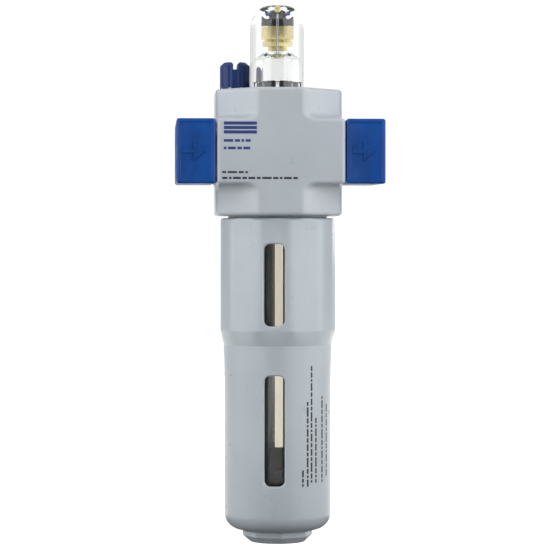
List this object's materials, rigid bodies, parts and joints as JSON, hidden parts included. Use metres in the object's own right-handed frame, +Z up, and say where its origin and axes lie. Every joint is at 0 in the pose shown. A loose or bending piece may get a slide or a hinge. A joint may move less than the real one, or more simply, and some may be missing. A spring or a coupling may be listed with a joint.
{
  "type": "compressed-air mist lubricator",
  "caption": "Compressed-air mist lubricator: grey housing with blue port plates, clear sight dome and filler screw above, faceted metal bowl guard with sight windows below.",
  "frame": {"origin": "centre of the inlet port's mouth, on the inlet plate's outer face", "axes": "+X along the air flow, from inlet to outlet; +Z up along the bowl's axis; the front, with the sight windows, faces -Y"},
  "size_m": [0.064, 0.04, 0.1673],
  "materials": {
    "housing_paint": "smooth light grey enamel on a die casting",
    "guard_paint": "smooth light grey enamel on a drawn shell",
    "blue_nylon": "moulded blue plastic, slight sheen",
    "clear_dome": "clear moulded polycarbonate",
    "clear_bowl": "clear moulded polycarbonate",
    "brass": "turned brass",
    "sintered_bronze": "porous sintered bronze",
    "black_rubber": "matte",
    "zinc_steel": "bright zinc plate",
    "dark_plastic": "moulded dark grey plastic",
    "natural_nylon": "milky natural nylon"
  },
  "bodies": {
    "body": {"housing": "housing_paint", "inlet_plate": "blue_nylon", "outlet_plate": "blue_nylon", "inlet_plate_seal": "black_rubber", "outlet_plate_seal": "black_rubber", "inlet_plate_screw_1": "zinc_steel", "inlet_plate_screw_2": "zinc_steel", "inlet_plate_screw_3": "zinc_steel", "inlet_plate_screw_4": "zinc_steel", "outlet_plate_screw_1": "zinc_steel", "outlet_plate_screw_2": "zinc_steel", "outlet_plate_screw_3": "zinc_steel", "outlet_plate_screw_4": "zinc_steel", "sight_dome": "clear_dome", "sight_dome_seal": "black_rubber", "drip_nozzle": "dark_plastic", "venturi_insert": "dark_plastic", "siphon_adapter": "dark_plastic", "siphon_tube": "natural_nylon", "suction_filter": "sintered_bronze", "pressure_check_spring": "zinc_steel", "pressure_check_retainer": "brass"},
    "adjuster_seal": {"adjusting_screw_seal": "black_rubber"},
    "adjuster": {"drip_adjusting_screw": "brass"},
    "filler_seal": {"filler_screw_seal": "black_rubber"},
    "filler": {"filler_screw": "blue_nylon"},
    "bowl": {"inner_bowl": "clear_bowl", "bowl_seal": "black_rubber"},
    "guard": {"bowl_guard": "guard_paint"},
    "flap": {"bypass_flap": "black_rubber"},
    "siphon_ball": {"check_ball": "zinc_steel"},
    "pressure_ball": {"pressure_check_ball": "zinc_steel"}
  },
  "joints": [
    {"name": "drip_screw_lift", "type": "slide", "parent": "body", "child": "adjuster_seal", "axis": [0, 0, 1], "range_m": [0, 0.0015]},
    {"name": "drip_screw_turn", "type": "hinge", "parent": "adjuster_seal", "child": "adjuster", "pos_m": [0.032, 0, 0.0332], "axis": [0, 0, 1], "range_deg": [0, 720]},
    {"name": "filler_screw_lift", "type": "slide", "parent": "body", "child": "filler_seal", "axis": [0, 0, 1], "range_m": [0, 0.006]},
    {"name": "filler_screw_turn", "type": "hinge", "parent": "filler_seal", "child": "filler", "pos_m": [0.0188, 0.0039, 0.0196], "axis": [0, 0, 1], "range_deg": [0, 2160]},
    {"name": "bowl_lowering", "type": "slide", "parent": "body", "child": "bowl", "axis": [0, 0, -1], "range_m": [0, 0.006]},
    {"name": "bowl_guard_turn", "type": "hinge", "parent": "bowl", "child": "guard", "pos_m": [0.032, 0, -0.0203], "axis": [0, 0, -1], "range_deg": [0, 1440]},
    {"name": "bypass_flap_swing", "type": "hinge", "parent": "body", "child": "flap", "pos_m": [0.039, 0, 0.00285], "axis": [0, -1, 0], "range_deg": [0, 60], "stiffness_Nm_per_rad": 0.00002},
    {"name": "siphon_ball_lift", "type": "slide", "parent": "body", "child": "siphon_ball", "axis": [0, 0, 1], "range_m": [0, 0.0005]},
    {"name": "pressure_ball_drop", "type": "slide", "parent": "body", "child": "pressure_ball", "axis": [0, 0, -1], "range_m": [0, 0.0005], "stiffness_N_per_m": 20, "springref_m": -0.0002, "deforming": ["pressure_check_spring"]}
  ],
  "couplings": [
    {"joint": "drip_screw_turn", "follows": "drip_screw_lift", "rad_per_m": 8377.5},
    {"joint": "filler_screw_turn", "follows": "filler_screw_lift", "rad_per_m": 6283.1},
    {"joint": "bowl_guard_turn", "follows": "bowl_lowering", "rad_per_m": 4188.7}
  ]
}
